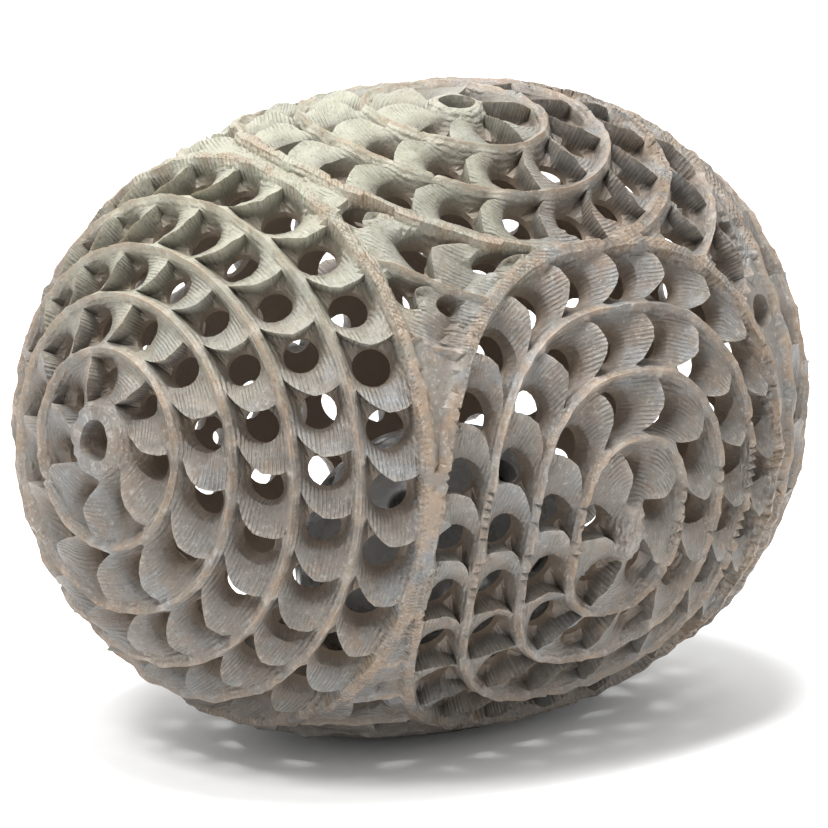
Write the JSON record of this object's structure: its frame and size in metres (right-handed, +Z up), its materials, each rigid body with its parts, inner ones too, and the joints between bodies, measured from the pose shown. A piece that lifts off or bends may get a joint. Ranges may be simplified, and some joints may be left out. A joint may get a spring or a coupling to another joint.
{
  "type": "carved marble egg",
  "caption": "Hollow egg of soft marble lying on its side, pierced all over with whorls of overlapping scales, with a small dark pierced egg loose inside it",
  "frame": {"origin": "on the flat base, under the middle of the egg", "axes": "+X along the egg's length, towards its slightly fuller end; +Z up; the pictured side faces -Y"},
  "size_m": [0.1269, 0.0973, 0.0958],
  "materials": {
    "soft_marble": "matt, tooled",
    "dark_marble": "half-polished"
  },
  "bodies": {
    "root": {"pierced_shell": "soft_marble", "inner_egg": "dark_marble"}
  },
  "joints": []
}
